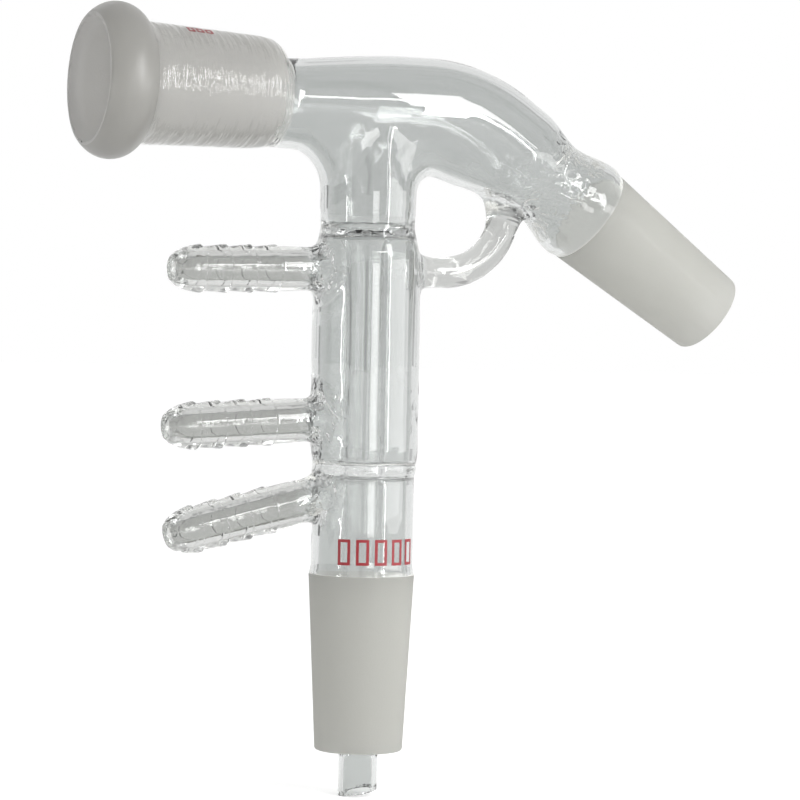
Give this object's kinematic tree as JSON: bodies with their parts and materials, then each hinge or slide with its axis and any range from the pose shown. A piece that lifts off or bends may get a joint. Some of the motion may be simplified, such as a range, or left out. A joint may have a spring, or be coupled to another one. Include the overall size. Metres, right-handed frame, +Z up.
{
  "type": "distillation head",
  "caption": "Glass distillation head with a ground socket, a bent arm, a jacketed inner condenser tube, ridged hose connections and a drip tip.",
  "frame": {"origin": "centre of the receiver joint's small end", "axes": "+Z up the condenser's axis, -X towards the socket and the hose connections, +X towards the flask arm"},
  "size_m": [0.1632, 0.0344, 0.1761],
  "materials": {
    "borosilicate_glass": "clear fire-polished borosilicate glass",
    "ground_glass": "finely ground frosted glass of the tapered joints",
    "red_enamel": "fired red marking enamel"
  },
  "bodies": {
    "root": {"distillation_head": "borosilicate_glass"}
  },
  "joints": []
}
